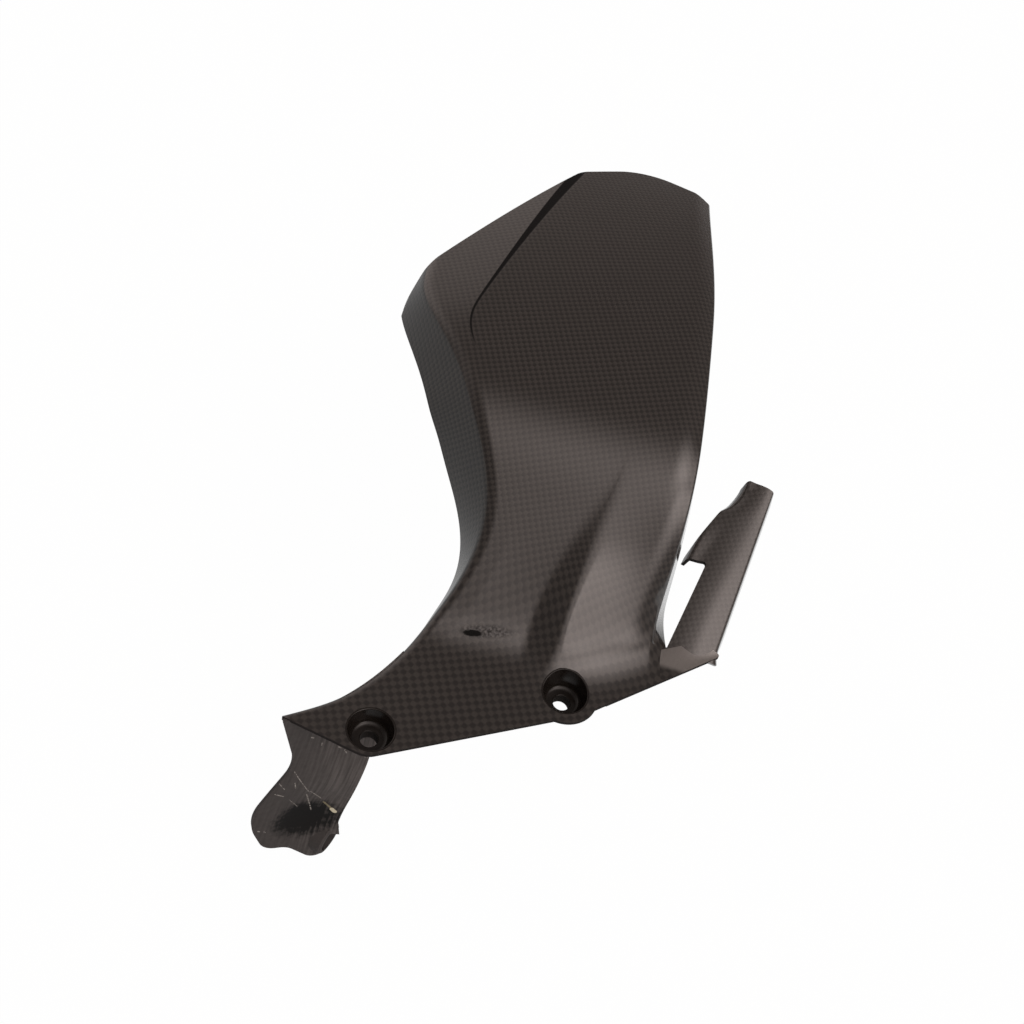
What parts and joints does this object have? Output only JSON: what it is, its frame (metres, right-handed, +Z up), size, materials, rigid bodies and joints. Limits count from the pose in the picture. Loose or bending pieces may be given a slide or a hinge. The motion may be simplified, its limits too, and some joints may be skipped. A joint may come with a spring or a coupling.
{
  "type": "motorcycle rear fender",
  "caption": "Moulded carbon rear fender for a motorcycle: a folded blade over the tyre, a base plate with recessed bolt cups, a side chain guard and a hanging mounting tab",
  "frame": {"origin": "midway between the two bolts, on the plane that the ends of their spigots clamp to", "axes": "+Z up along the bolts, +Y from the base plate towards the tail of the blade, +X across the wheel towards the chain guard"},
  "size_m": [0.1685, 0.2957, 0.1638],
  "materials": {
    "carbon": "gloss"
  },
  "bodies": {
    "root": {"rear_fender": "carbon"}
  },
  "joints": []
}
